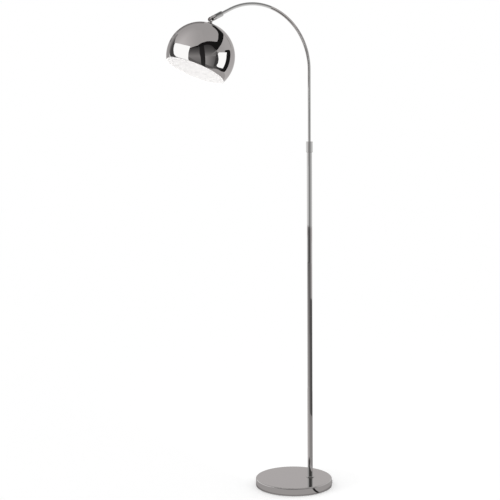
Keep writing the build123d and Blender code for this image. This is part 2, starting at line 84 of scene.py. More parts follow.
# %% Place the camera
EYE = Vector((-1.8555, -2.9677, 1.0840))
LOOKING = Vector((0.4962, 0.8619, -0.1044))
CAMERA_ROLL = radians(-0.46)
LENS_MM = 85.27

lens = bpy.data.cameras.new("picture_camera")
lens.lens = LENS_MM
lens.sensor_width = 36.0
lens.clip_end = 50.0
camera = bpy.data.objects.new("picture_camera", lens)
scene.collection.objects.link(camera)
camera.matrix_world = (
    Matrix.Translation(EYE)
    @ LOOKING.to_track_quat("-Z", "Y").to_matrix().to_4x4()
    @ Matrix.Rotation(CAMERA_ROLL, 4, "Z")
)
scene.camera = camera
scene.view_settings.view_transform = "Standard"
print("camera", round((EYE - Vector((0, 0, EYE.z))).length, 2), "m from the lamp, lens", LENS_MM, "mm")

# %% [markdown]
# ## A helper for new pieces
# Each new piece is a list of points and a list of faces. One helper turns them into an object, shades it
# smooth and keeps the corners that are meant to be sharp.

# %% Make an object from points and faces
def new_piece(name, points, faces, sharp_above=40.0):
    mesh = bpy.data.meshes.new(name)
    mesh.from_pydata([tuple(p) for p in points], [], faces)
    mesh.validate()
    mesh.shade_smooth()
    mesh.set_sharp_from_angle(angle=radians(sharp_above))
    piece = bpy.data.objects.new(name, mesh)
    scene.collection.objects.link(piece)
    return piece


def strip_faces(columns, rows, closed_rows=False):
    """Quads between neighbouring columns of points; the last column joins the first."""
    faces = []
    last = rows if closed_rows else rows - 1
    for c in range(columns):
        d = (c + 1) % columns
        for r in range(last):
            s = (r + 1) % rows
            faces.append((c * rows + r, d * rows + r, d * rows + s, c * rows + s))
    return faces


print("helpers for new pieces ready")

# %% [markdown]
# ## The dome
# The real shade is spun from sheet metal over a ball-shaped form: a flat seat with a hole where the neck goes
# through, a ball of even wall, and an edge that is trimmed at a slant and rolled in so that it isn't sharp.
# A UV sphere cut with a boolean would leave a ragged rim. Here every meridian runs from the hole to the rim
# and stops exactly where the slanted plane cuts the ball, so the rim is clean and the quads are even.

# %% The dome's sizes and place
BALL = 0.0955
WALL = 0.0008
RIM_DROP = 0.0435
NECK_LEAN = radians(18.7)
RIM_TURN = radians(5.8)
PIVOT_TO_MIDDLE = 0.109075
PIVOT_TO_SEAT = 0.014
SEAT_TO_MIDDLE = PIVOT_TO_MIDDLE - PIVOT_TO_SEAT
SEAT_HOLE = 0.0051
ROLL_RADIUS = 0.0008

pivot = Vector(joints["shade_tilt"]["pos_m"])
neck = Vector((sin(NECK_LEAN), 0.0, cos(NECK_LEAN)))
across = Vector((cos(NECK_LEAN), 0.0, -sin(NECK_LEAN)))
sideways = Vector((0.0, 1.0, 0.0))
dome_middle = pivot - PIVOT_TO_MIDDLE * neck
print("dome middle", [round(v, 4) for v in dome_middle])

# %% Spin the dome
MERIDIANS = 240
BALL_ROWS = 110
ROLL_ROWS = 9


def rim_angle(turn, radius):
    """Angle from the neck at which a meridian meets the plane of the rim."""
    a, b = cos(RIM_TURN), sin(RIM_TURN) * cos(turn)
    return atan2(b, a) + acos(-RIM_DROP / (radius * sqrt(a * a + b * b)))


def meridian_point(turn, angle, radius):
    outward = cos(turn) * across + sin(turn) * sideways
    return dome_middle + radius * (sin(angle) * outward + cos(angle) * neck)


def seat_point(turn, radius, height):
    return dome_middle + radius * (cos(turn) * across + sin(turn) * sideways) + height * neck


def dome_column(turn):
    """Points from the hole over the outside to the rim, round the rolled edge and back up inside."""
    inside = BALL - WALL
    end = rim_angle(turn, BALL) - ROLL_RADIUS / BALL
    out_start = acos(SEAT_TO_MIDDLE / BALL)
    in_start = acos((SEAT_TO_MIDDLE - WALL) / inside)
    outer = [meridian_point(turn, out_start + (end - out_start) * k / BALL_ROWS, BALL)
             for k in range(BALL_ROWS + 1)]
    roll = []
    for k in range(1, ROLL_ROWS + 1):
        way = pi * k / ROLL_ROWS
        angle = end + ROLL_RADIUS * sin(way) / BALL
        roll.append(meridian_point(turn, angle, BALL - ROLL_RADIUS + ROLL_RADIUS * cos(way)))
    inner_end = end - 2 * ROLL_RADIUS / BALL
    inner = [meridian_point(turn, inner_end + (in_start - inner_end) * k / BALL_ROWS, inside)
             for k in range(BALL_ROWS + 1)]
    return ([seat_point(turn, SEAT_HOLE, SEAT_TO_MIDDLE)] + outer + roll + inner
            + [seat_point(turn, SEAT_HOLE, SEAT_TO_MIDDLE - WALL)])


dome_columns = [dome_column(2 * pi * c / MERIDIANS) for c in range(MERIDIANS)]
dome_rows = len(dome_columns[0])
dome = new_piece("dome_shell", [p for column in dome_columns for p in column],
                 strip_faces(MERIDIANS, dome_rows, closed_rows=True), sharp_above=60.0)
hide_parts("shade")
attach(dome, "head")
print("dome", len(dome.data.polygons), "faces")

# %% [markdown]
# ## The felt under the foot
# A disc of pressed felt keeps the iron off the floor. Felt has no crisp edge: its rim is soft and a little
# uneven where it was stamped. A turned disc with rounded edges, whose rim wanders by a few tenths of a
# millimetre, shows that where the foot meets the floor.

# %% Turn the felt disc
FELT_TURNS = 180
FELT_ROUND = 0.0007
FELT_ROUND_STEPS = 4
FELT_CENTRE = 0.0004
FELT_TRIM = 0.0003
FELT_TOP_EDGE = 0.0002
# Height, number round the rim and start of each wave.
FELT_WAVES = ((0.00012, 7, 0.6), (0.00009, 23, 0.0), (0.00006, 41, 2.0))
felt_low, felt_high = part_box("base_pad")
felt_radius = (felt_high.x - felt_low.x) / 2
felt_middle = (felt_low + felt_high) / 2


def felt_column(turn):
    """Outline from the middle of the underside, round the soft rim, to the middle of the top."""
    wander = sum(height * sin(count * turn + start) for height, count, start in FELT_WAVES)
    edge = felt_radius - FELT_TRIM + wander
    outline = [(FELT_CENTRE, felt_low.z), (edge * 0.5, felt_low.z)]
    for k in range(FELT_ROUND_STEPS + 1):
        a = -pi / 2 + (pi / 2) * k / FELT_ROUND_STEPS
        outline.append((edge - FELT_ROUND + FELT_ROUND * cos(a), felt_low.z + FELT_ROUND + FELT_ROUND * sin(a)))
    outline += [(edge, felt_high.z - FELT_TOP_EDGE), (edge - FELT_TOP_EDGE, felt_high.z),
                (edge * 0.5, felt_high.z), (FELT_CENTRE, felt_high.z)]
    return [Vector((felt_middle.x + r * cos(turn), felt_middle.y + r * sin(turn), z)) for r, z in outline]


felt_columns = [felt_column(2 * pi * c / FELT_TURNS) for c in range(FELT_TURNS)]
felt = new_piece("felt_disc", [p for column in felt_columns for p in column],
                 strip_faces(FELT_TURNS, len(felt_columns[0]), closed_rows=True))
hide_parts("base_pad")
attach(felt, "stand")
print("felt disc", round(2000 * felt_radius, 1), "mm across")

# %% [markdown]
# ## Building blocks for the finishes
# Polished metal, enamel and plastics share a few effects: faint marks from handling, the fine rings of
# turning and polishing, a grain, and dust that settles on what faces up. Each effect is a node group with
# named inputs, built once, so that every finish can use it with its own numbers.

# %% Helpers for nodes and groups
def add_node(tree, kind, inputs=None, **settings):
    """A new node; an input is a number, a colour or another node's output to link."""
    node = tree.nodes.new(kind)
    for name, value in settings.items():
        setattr(node, name, value)
    for name, value in (inputs or {}).items():
        if isinstance(value, bpy.types.NodeSocket):
            tree.links.new(value, node.inputs[name])
        else:
            node.inputs[name].default_value = value
    return node


def calculate(tree, operation, first, second):
    node = add_node(tree, "ShaderNodeMath", {0: first, 1: second}, operation=operation)
    return node.outputs[0]


def new_group(name, numbers, results):
    """A shader group with a Vector input, the given number inputs and float results."""
    group = bpy.data.node_groups.new(name, "ShaderNodeTree")
    group.interface.new_socket("Vector", in_out="INPUT", socket_type="NodeSocketVector")
    for label, default in numbers.items():
        socket = group.interface.new_socket(label, in_out="INPUT", socket_type="NodeSocketFloat")
        socket.default_value = default
    for label in results:
        group.interface.new_socket(label, in_out="OUTPUT", socket_type="NodeSocketFloat")
    start = group.nodes.new("NodeGroupInput")
    end = group.nodes.new("NodeGroupOutput")
    return group, start, end


print("helpers for nodes ready")

# %% Marks from handling
SMEARS_FINER = 9.0
MARK_EDGE = 0.25

hand_marks, start, end = new_group("hand marks", {"Size": 18.0, "Cover": 0.45}, ["Mask"])
patches = add_node(hand_marks, "ShaderNodeTexNoise",
                   {"Vector": start.outputs["Vector"], "Scale": start.outputs["Size"],
                    "Detail": 3.0, "Roughness": 0.55, "Distortion": 0.6})
smears = add_node(hand_marks, "ShaderNodeTexNoise",
                  {"Vector": start.outputs["Vector"], "Detail": 4.0, "Roughness": 0.7,
                   "Scale": calculate(hand_marks, "MULTIPLY", start.outputs["Size"], SMEARS_FINER)})
low_edge = calculate(hand_marks, "SUBTRACT", 1.0, start.outputs["Cover"])
spread = add_node(hand_marks, "ShaderNodeMapRange",
                  {"Value": patches.outputs[0], "From Min": low_edge,
                   "From Max": calculate(hand_marks, "ADD", low_edge, MARK_EDGE)},
                  interpolation_type="SMOOTHSTEP")
hand_marks.links.new(calculate(hand_marks, "MULTIPLY", spread.outputs[0], smears.outputs[0]), end.inputs["Mask"])
print("group:", hand_marks.name)

# %% Rings left by turning and polishing
turned_rings, start, end = new_group("turned rings", {"Density": 900.0}, ["Rings"])
split = add_node(turned_rings, "ShaderNodeSeparateXYZ", {"Vector": start.outputs["Vector"]})
ring_noise = add_node(turned_rings, "ShaderNodeTexNoise",
                      {"W": split.outputs["Z"], "Scale": start.outputs["Density"], "Detail": 2.0,
                       "Roughness": 0.6}, noise_dimensions="1D")
turned_rings.links.new(ring_noise.outputs[0], end.inputs["Rings"])
print("group:", turned_rings.name)

# %% A fine grain
PITS_COARSER = 0.7

fine_grain, start, end = new_group("fine grain", {"Scale": 600.0, "Pits": 0.3}, ["Grain", "Height"])
soft_grain = add_node(fine_grain, "ShaderNodeTexNoise",
                      {"Vector": start.outputs["Vector"], "Scale": start.outputs["Scale"],
                       "Detail": 5.0, "Roughness": 0.6})
cells = add_node(fine_grain, "ShaderNodeTexVoronoi",
                 {"Vector": start.outputs["Vector"],
                  "Scale": calculate(fine_grain, "MULTIPLY", start.outputs["Scale"], PITS_COARSER)})
pits = calculate(fine_grain, "MULTIPLY", cells.outputs["Distance"], start.outputs["Pits"])
fine_grain.links.new(soft_grain.outputs[0], end.inputs["Grain"])
fine_grain.links.new(calculate(fine_grain, "ADD", soft_grain.outputs[0], pits), end.inputs["Height"])
print("group:", fine_grain.name)

# %% Dust on what faces up
settled_dust, start, end = new_group("settled dust", {"Amount": 0.3}, ["Mask"])
facing = add_node(settled_dust, "ShaderNodeSeparateXYZ",
                  {"Vector": add_node(settled_dust, "ShaderNodeNewGeometry").outputs["Normal"]})
upward = add_node(settled_dust, "ShaderNodeMapRange",
                  {"Value": facing.outputs["Z"], "From Min": 0.55, "From Max": 1.0},
                  interpolation_type="SMOOTHSTEP")
specks = add_node(settled_dust, "ShaderNodeTexNoise",
                  {"Vector": start.outputs["Vector"], "Scale": 900.0, "Detail": 3.0, "Roughness": 0.7})
speck_mask = add_node(settled_dust, "ShaderNodeMapRange",
                      {"Value": specks.outputs[0], "From Min": 0.52, "From Max": 0.75})
thin = calculate(settled_dust, "MULTIPLY", speck_mask.outputs[0], start.outputs["Amount"])
settled_dust.links.new(calculate(settled_dust, "MULTIPLY", thin, upward.outputs[0]), end.inputs["Mask"])
print("group:", settled_dust.name)

# %% [markdown]
# ## Chrome
# Chrome plate over polished steel is almost a mirror, a little darker than silver. What tells it from a
# computer mirror is small: the polishing wheel leaves rings too fine to see that widen the highlights, hands
# leave faint marks, and dust dulls the top of the foot. The rings run round the axis of each piece, so the
# head's chrome turns its coordinates to the neck's lean and the stand's chrome keeps them upright.

# %% Place a group in a material and start a finish
def use_group(tree, group, vector, **numbers):
    node = add_node(tree, "ShaderNodeGroup", node_tree=group)
    tree.links.new(vector, node.inputs["Vector"])
    for label, value in numbers.items():
        node.inputs[label].default_value = value
    return node.outputs


def new_finish(name):
    material = bpy.data.materials.new(name)
    material.use_nodes = True
    tree = material.node_tree
    tree.nodes.clear()
    shader = add_node(tree, "ShaderNodeBsdfPrincipled")
    add_node(tree, "ShaderNodeOutputMaterial", {"Surface": shader.outputs["BSDF"]})
    place = add_node(tree, "ShaderNodeTexCoord").outputs["Object"]
    return material, tree, shader, place


def blend_colours(tree, mask, first, second):
    node = add_node(tree, "ShaderNodeMix", {0: mask, 6: first, 7: second}, data_type="RGBA")
    return node.outputs[2]


def scaled(tree, base, *terms):
    """base plus each value times its weight."""
    total = base
    for value, weight in terms:
        total = calculate(tree, "ADD", calculate(tree, "MULTIPLY", value, weight), total)
    return total


print("helpers for finishes ready")

# %% Mix the chrome
CHROME = (0.46, 0.455, 0.45, 1.0)
CHROME_SMEARED = (0.43, 0.425, 0.42, 1.0)
CHROME_EDGE = (0.80, 0.80, 0.80, 1.0)
DUST = (0.62, 0.60, 0.57, 1.0)
CHROME_ROUGHNESS = 0.012
RINGS_ROUGHEN = 0.03
MARKS_ROUGHEN = 0.06
DUST_ROUGHENS = 0.5


def make_chrome(name, lean):
    material, tree, shader, place = new_finish(name)
    turned = add_node(tree, "ShaderNodeMapping", {"Vector": place, "Rotation": (0.0, lean, 0.0)}).outputs[0]
    rings = use_group(tree, turned_rings, turned, Density=2600.0)["Rings"]
    marks = use_group(tree, hand_marks, place, Size=26.0, Cover=0.42)["Mask"]
    dust = use_group(tree, settled_dust, place, Amount=0.06)["Mask"]
    colour = blend_colours(tree, marks, CHROME, CHROME_SMEARED)
    tree.links.new(blend_colours(tree, dust, colour, DUST), shader.inputs["Base Color"])
    roughness = scaled(tree, CHROME_ROUGHNESS, (rings, RINGS_ROUGHEN), (marks, MARKS_ROUGHEN), (dust, DUST_ROUGHENS))
    tree.links.new(roughness, shader.inputs["Roughness"])
    shader.inputs["Metallic"].default_value = 1.0
    shader.inputs["Specular Tint"].default_value = CHROME_EDGE
    return material


chrome_upright = make_chrome("chrome_upright", 0.0)
chrome_leaning = make_chrome("chrome_leaning", -NECK_LEAN)
print("chrome:", chrome_upright.name, chrome_leaning.name)

# %% [markdown]
# ## White enamel inside the dome
# The inside is sprayed with white enamel, so that it throws the light down. Sprayed enamel has a faint orange
# peel and a soft gloss, and it is a warm white rather than a pure one.

# %% Mix the enamel
ENAMEL = (0.904, 0.897, 0.8945, 1.0)
ENAMEL_THIN = (0.873, 0.866, 0.8625, 1.0)
ENAMEL_ROUGHNESS = 0.42
PEEL_ROUGHENS = 0.12
PEEL_STRENGTH = 0.03
PEEL_DEPTH = 0.00002

enamel, tree, shader, place = new_finish("white_enamel")
peel = use_group(tree, fine_grain, place, Scale=420.0, Pits=0.2)
marks = use_group(tree, hand_marks, place, Size=14.0, Cover=0.5)["Mask"]
tree.links.new(blend_colours(tree, marks, ENAMEL, ENAMEL_THIN), shader.inputs["Base Color"])
tree.links.new(scaled(tree, ENAMEL_ROUGHNESS, (peel["Grain"], PEEL_ROUGHENS)), shader.inputs["Roughness"])
bump = add_node(tree, "ShaderNodeBump",
                {"Height": peel["Height"], "Strength": PEEL_STRENGTH, "Distance": PEEL_DEPTH})
tree.links.new(bump.outputs[0], shader.inputs["Normal"])
print("enamel:", enamel.name)

# %% Two finishes on one shell
dome.data.materials.append(chrome_leaning)
dome.data.materials.append(enamel)
first_inside_row = 1 + (BALL_ROWS + 1) + ROLL_ROWS // 2
for index, polygon in enumerate(dome.data.polygons):
    polygon.material_index = 1 if index % dome_rows >= first_inside_row - 1 else 0
print("enamelled faces:", sum(p.material_index for p in dome.data.polygons))

# %% [markdown]
# ## The other finishes
# Under the chrome are plainer things: cast iron, felt, rubber, zinc-plated steel, nylon, fibre, brass, the
# holder's white plastic and its ceramic core, and the bulb. Each is a colour that varies a little with its
# grain, a roughness that follows it and a bump. One function mixes them from a short table, and only what is
# different for a finish is in its row.

# %% Mix the grained finishes
WORN_SHADE = 0.85
WEAR_ROUGHENS = 0.08
GRAIN_BUMP = 0.5


def make_grained(name, light, dark, grain, pits, rough, rough_change, bump_depth, metal=0.0):
    material, tree, shader, place = new_finish(name)
    texture = use_group(tree, fine_grain, place, Scale=grain, Pits=pits)
    marks = use_group(tree, hand_marks, place, Size=22.0, Cover=0.4)["Mask"]
    colour = blend_colours(tree, texture["Grain"], (*dark, 1.0), (*light, 1.0))
    worn = tuple(WORN_SHADE * c for c in light) + (1.0,)
    tree.links.new(blend_colours(tree, marks, colour, worn), shader.inputs["Base Color"])
    tree.links.new(scaled(tree, rough, (texture["Grain"], rough_change), (marks, WEAR_ROUGHENS)),
                   shader.inputs["Roughness"])
    bump = add_node(tree, "ShaderNodeBump",
                    {"Height": texture["Height"], "Strength": GRAIN_BUMP, "Distance": bump_depth})
    tree.links.new(bump.outputs[0], shader.inputs["Normal"])
    shader.inputs["Metallic"].default_value = metal
    return material


# Light and dark colour, scale of the grain, pits, roughness, its change with the grain, bump depth; 1.0 for a metal.
GRAINED = {
    "cast_iron": ((0.19, 0.19, 0.20), (0.12, 0.12, 0.125), 500, 0.6, 0.55, 0.25, 0.0006),
    "felt": ((0.075, 0.075, 0.08), (0.03, 0.03, 0.033), 1400, 1.0, 0.85, 0.12, 0.0008),
    "black_rubber": ((0.04, 0.04, 0.04), (0.022, 0.022, 0.022), 2200, 0.4, 0.5, 0.2, 0.0001),
    "zinc_steel": ((0.66, 0.67, 0.68), (0.52, 0.53, 0.54), 350, 0.2, 0.28, 0.2, 0.00003, 1.0),
    "black_steel": ((0.10, 0.10, 0.10), (0.06, 0.06, 0.06), 700, 0.2, 0.35, 0.2, 0.00003, 1.0),
    "nylon": ((0.87, 0.86, 0.82), (0.80, 0.79, 0.74), 700, 0.2, 0.4, 0.15, 0.00008),
    "fibre": ((0.27, 0.15, 0.09), (0.17, 0.09, 0.05), 1600, 0.5, 0.7, 0.2, 0.0001),
    "lead_sleeve": ((0.85, 0.84, 0.80), (0.79, 0.78, 0.73), 900, 0.2, 0.38, 0.15, 0.00005),
    "brass": ((0.74, 0.58, 0.27), (0.60, 0.44, 0.18), 260, 0.1, 0.22, 0.2, 0.00003, 1.0),
    "holder_white": ((0.85, 0.85, 0.83), (0.80, 0.80, 0.775), 1100, 0.3, 0.3, 0.15, 0.00004),
    "steatite": ((0.84, 0.82, 0.76), (0.76, 0.73, 0.66), 800, 0.5, 0.6, 0.2, 0.0001),
    "bulb_metal": ((0.77, 0.77, 0.78), (0.66, 0.66, 0.67), 420, 0.1, 0.25, 0.2, 0.00003, 1.0),
    "bulb_white": ((0.87, 0.87, 0.86), (0.83, 0.83, 0.815), 1300, 0.2, 0.3, 0.1, 0.00003),
}
finishes = {name: make_grained(name, *row) for name, row in GRAINED.items()}
print("grained finishes:", ", ".join(finishes))

# %% [markdown]
# ## The bulb's opal globe
# The globe is moulded from milky plastic or glass: light enters a little way and spreads, and the surface has
# a soft gloss. A little subsurface scattering under a smooth skin gives that without real transparency.

# %% Mix the opal
OPAL_DEEP = (0.86, 0.855, 0.84, 1.0)
OPAL_LIGHT = (0.92, 0.915, 0.90, 1.0)
OPAL_ROUGHNESS = 0.16
MILK_ROUGHENS = 0.12

opal, tree, shader, place = new_finish("opal")
milk = use_group(tree, fine_grain, place, Scale=90.0, Pits=0.1)
tree.links.new(blend_colours(tree, milk["Grain"], OPAL_DEEP, OPAL_LIGHT), shader.inputs["Base Color"])
tree.links.new(scaled(tree, OPAL_ROUGHNESS, (milk["Grain"], MILK_ROUGHENS)), shader.inputs["Roughness"])
shader.inputs["Subsurface Weight"].default_value = 0.35
shader.inputs["Subsurface Radius"].default_value = (0.004, 0.004, 0.0038)
shader.inputs["Subsurface Scale"].default_value = 1.0
finishes["opal"] = opal
print("opal:", opal.name)

# %% Dress the CAD nodes
head_nodes = set(frame["record"]["behaviour"]["bodies"]["head"])
for subpart in frame["record"]["subparts"]:
    name, slot = subpart["node"], subpart["material_slot"]
    if slot == "chrome":
        finish = chrome_leaning if name in head_nodes else chrome_upright
    else:
        finish = finishes[slot]
    nodes[name].material_slots[0].material = finish
felt.data.materials.append(finishes["felt"])
print("dressed", len(nodes), "nodes")

# %% [markdown]
# ## The studio
# Chrome has no colour of its own worth speaking of: it shows the room. So the room is built as a studio would
# be: a white floor and backdrop, a bright card on each side of the ball, dark cards that draw lines along the
# edges, and the dim side of the room behind the camera. The floor is white where it is looked at and a plain pale
# grey where it takes light, so the lamp's shadow stays on it.

# %% A white world and a floor that keeps the shadow
WHITE = (1.0, 1.0, 1.0, 1.0)
AMBIENT = 0.86
FLOOR_SHADE = 0.80
FLOOR_HALF = 12.0
FLOOR_DROP = 0.0003


def show_ray(tree):
    """1 for rays that show the background: straight to the camera, in gloss or through glass."""
    path = add_node(tree, "ShaderNodeLightPath")
    seen = calculate(tree, "MAXIMUM", path.outputs["Is Camera Ray"], path.outputs["Is Glossy Ray"])
    return calculate(tree, "MAXIMUM", seen, path.outputs["Is Transmission Ray"])


def bare_tree(name):
    """An empty material. Its glow is only looked at and lights nothing, so it isn't sampled as a lamp."""
    material = bpy.data.materials.new(name)
    material.use_nodes = True
    material.node_tree.nodes.clear()
    material.cycles.emission_sampling = "NONE"
    return material, material.node_tree


world = bpy.data.worlds.new("studio_world")
scene.world = world
world.use_nodes = True
tree = world.node_tree
tree.nodes.clear()
strength = scaled(tree, AMBIENT, (show_ray(tree), 1.0 - AMBIENT))
backdrop = add_node(tree, "ShaderNodeBackground", {"Color": WHITE, "Strength": strength})
add_node(tree, "ShaderNodeOutputWorld", {"Surface": backdrop.outputs[0]})

floor = new_piece("studio_floor", [(x * FLOOR_HALF, y * FLOOR_HALF, -FLOOR_DROP)
                                   for x, y in ((-1, -1), (1, -1), (1, 1), (-1, 1))], [(0, 1, 2, 3)])
paper, tree = bare_tree("floor_paper")
matt = add_node(tree, "ShaderNodeBsdfDiffuse", {"Color": (FLOOR_SHADE, FLOOR_SHADE, FLOOR_SHADE, 1.0)})
lifted = calculate(tree, "MULTIPLY", show_ray(tree), 1.0 - AMBIENT * FLOOR_SHADE)
lift = add_node(tree, "ShaderNodeEmission", {"Color": WHITE, "Strength": lifted})
both = add_node(tree, "ShaderNodeAddShader", {0: matt.outputs[0], 1: lift.outputs[0]})
add_node(tree, "ShaderNodeOutputMaterial", {"Surface": both.outputs[0]})
floor.data.materials.append(paper)
print("world lights with", AMBIENT, "- floor", 2 * FLOOR_HALF, "m wide")

# %% [markdown]
# ## Cards for the reflections
# A bright panel could be a lamp, but a lamp would also light the enamel and the floor. A card here is a sheet with
# a glow that only reflections see, clear from behind, and it throws no light on anything matt. Its place is given
# by direction from the dome, because that is how a photographer sets it: look at the ball, and move the card until
# its image is where it should be. Cards belong to the studio and not to the lamp, so they stay put when a joint
# moves.

# %% Directions as the dome sees them
UP = Vector((0.0, 0.0, 1.0))
toward_camera = Vector((EYE.x - dome_middle.x, EYE.y - dome_middle.y, 0.0)).normalized()
to_the_right = UP.cross(toward_camera)


def level_direction(azimuth):
    """Level direction; 0 is towards the camera and the picture's right is positive."""
    a = radians(azimuth)
    return cos(a) * toward_camera + sin(a) * to_the_right


def from_dome(azimuth, elevation, distance):
    e = radians(elevation)
    return dome_middle + distance * (cos(e) * level_direction(azimuth) + sin(e) * UP)


print("right of the picture is", [round(v, 2) for v in to_the_right])


# %% Cards that only reflections see
def only_in_gloss(thing):
    thing.visible_camera = False
    thing.visible_diffuse = False
    thing.visible_transmission = False
    thing.visible_shadow = False
    thing.visible_volume_scatter = False


def card_tone(name, low, high, reach=None):
    """A glow from one tone at the first edge to another at the last; nothing from behind or beyond its reach."""
    material, tree = bare_tree(name)
    height = add_node(tree, "ShaderNodeSeparateXYZ",
                      {"Vector": add_node(tree, "ShaderNodeTexCoord").outputs["UV"]}).outputs["Y"]
    colour = blend_colours(tree, height, (*low, 1.0), (*high, 1.0))
    glow = add_node(tree, "ShaderNodeEmission", {"Color": colour, "Strength": 1.0})
    clear = add_node(tree, "ShaderNodeBsdfTransparent")
    unseen = add_node(tree, "ShaderNodeNewGeometry").outputs["Backfacing"]
    if reach:
        length = add_node(tree, "ShaderNodeLightPath").outputs["Ray Length"]
        unseen = calculate(tree, "MAXIMUM", unseen, calculate(tree, "GREATER_THAN", length, reach))
    face = add_node(tree, "ShaderNodeMixShader", {0: unseen, 1: glow.outputs[0], 2: clear.outputs[0]})
    add_node(tree, "ShaderNodeOutputMaterial", {"Surface": face.outputs[0]})
    return material


print("helpers for card materials ready")

# %% Hang a card
CARD_ROWS = 12
cards = []


def upwards(across, up):
    return up


def hang_card(name, columns, low, high, blend=upwards, reach=None):
    """A card from functions that give a column's points from its first edge (0) to its last (1)."""
    points, faces, tones = [], [], []
    rows = CARD_ROWS + 1
    last = len(columns) - 1
    for c, column in enumerate(columns):
        for k in range(rows):
            points.append(column(k / CARD_ROWS))
            tones.append(blend(c / last, k / CARD_ROWS))
    for c in range(last):
        for r in range(CARD_ROWS):
            faces.append((c * rows + r, c * rows + r + 1, (c + 1) * rows + r + 1, (c + 1) * rows + r))
    thing = new_piece(name, points, faces)
    layer = thing.data.uv_layers.new(name="UVMap")
    for loop in thing.data.loops:
        layer.data[loop.index].uv = (0.5, tones[loop.vertex_index])
    thing.data.materials.append(card_tone(name, low, high, reach))
    only_in_gloss(thing)
    cards.append(name)


def dome_card(name, columns, distance, low, high, blend=upwards):
    """A bowed card round the dome. Each column is (azimuth, lowest elevation, highest elevation)."""
    def column(azimuth, bottom, top):
        return lambda way: from_dome(azimuth, bottom + (top - bottom) * way, distance)
    hang_card(name, [column(*c) for c in columns], low, high, blend)


print("helpers for cards ready")

# %% Tones of the room
ROOM_TINT = (1.048, 1.0, 0.998)
TENT_TINT = (1.02, 0.974, 0.972)
PLAIN_TINT = (1.0, 1.0, 1.0)


def grey(tone, tint=ROOM_TINT):
    return tuple(tone * part for part in tint)


def tent_grey(tone):
    return grey(tone, TENT_TINT)


def plain(tone):
    return grey(tone, PLAIN_TINT)


def even_columns(start, stop, bottom, top, count):
    return [(start + (stop - start) * k / count, bottom, top) for k in range(count + 1)]


print("a room grey of 0.5 is", [round(part, 3) for part in grey(0.5)])

# %% [markdown]
# ## What the dome shows
# A chrome ball shows nearly the whole room, squeezed together towards its edge. There are two bright faces with
# dark edges, a dim room with a black brow between them, and pale paper above and below. Each is a card about 0.3 m
# from the dome's middle, so near that the pole and the foot hardly see it. A card is a row of columns, and each
# column is an azimuth and two elevations, in degrees.

# %% The bright cards and their black edges, close round the dome
# Distances from the dome's middle. A card on a nearer layer covers those behind it.
NEAR = 0.30
INNER_LAYER = NEAR - 0.003
EDGE_LAYER = NEAR + 0.005
SIDE_LAYER = NEAR + 0.02
BACK_LAYER = NEAR + 0.03
BRIGHT = plain(2.1)
FALL_START = 0.2
FALL_RATE = 4.0


def quick_fall(across, up):
    """First tone at the outer edge, the second from about the middle on."""
    return min(1.0, max(0.0, FALL_RATE * (across - FALL_START)))


def sideways_blend(across, up):
    return across


dome_card("light_face_left", [(-94, 24, 28), (-92, 18, 28.3), (-90, 13, 28.5), (-84, 4, 29), (-71, -3, 29),
                              (-60, -10, 28.3), (-48, -16, 27), (-36, -20, 25.4), (-34.2, 8, 25), (-31, 22.5, 24.4)],
          NEAR, BRIGHT, BRIGHT)
dome_card("edge_left", [(-124, 34, 40), (-117, 16, 42), (-114, 10, 42), (-110, 6, 36), (-104, 1, 33), (-98, -2, 28),
                        (-93, -4, 26), (-87, -6, 6), (-77, -8, -1), (-71, -10, -3)],
          EDGE_LAYER, grey(0.42), grey(0.11), quick_fall)
dome_card("dim_left", even_columns(-150, -112, -20, 36, 6), SIDE_LAYER, grey(0.62), grey(0.62))
dome_card("light_face_right", [(50.3, -20, 4), (52, -27, 6.5), (54, -28, 7.8), (60, -29, 7.9), (72, -29.2, 8),
                               (79, -28.5, 8.1), (82, 2, 8), (84.5, 7.5, 8)], NEAR, BRIGHT, BRIGHT)
dome_card("edge_right", [(76, -36, 9), (78, -36, 12.3), (82, -35.8, 13.2), (91, -34.3, 13.2), (97, -33, 13.2),
                         (99.5, -29.5, 12.8), (101.5, -5, 12), (103.5, 4, 11)], EDGE_LAYER, grey(0.02), grey(0.02))
dome_card("dim_right", even_columns(84, 150, -34, 12, 8), SIDE_LAYER, grey(0.88), grey(0.74))
dome_card("edge_inner", [(41, -30, -25), (43.5, -29, 1), (46, -27, 4), (50.5, -24, 2), (52.2, -22, -4),
                         (53.4, -18.5, -10)], INNER_LAYER, grey(0.085), grey(0.085))
dome_card("edge_right_low", [(43, -34.3, -30), (50, -34.5, -28), (54, -34, -27.8), (66, -35, -29), (81, -36, -28.5)],
          EDGE_LAYER, grey(0.16), grey(0.03), sideways_blend)
print(len(cards), "cards:", ", ".join(cards))

# %% The dim side of the room as the dome shows it
WEDGE_LAYER = NEAR + 0.008
STRIPE_LAYER = NEAR + 0.01
SILL_LAYER = NEAR + 0.012
DIM_TOP_LAYER = NEAR + 0.015
DIM_MIDDLE_LAYER = NEAR + 0.0155
DIM_LOW_LAYER = NEAR + 0.016
GLOW_PEAK = 0.405
GLOW_FADE = 0.442


def low_left_glow(across, up):
    """First tone low on the left; it fades to the second upwards and to both sides."""
    side = across / GLOW_PEAK if across < GLOW_PEAK else (GLOW_PEAK + GLOW_FADE - across) / GLOW_FADE
    return 1.0 - max(0.0, side) * (1.0 - up)


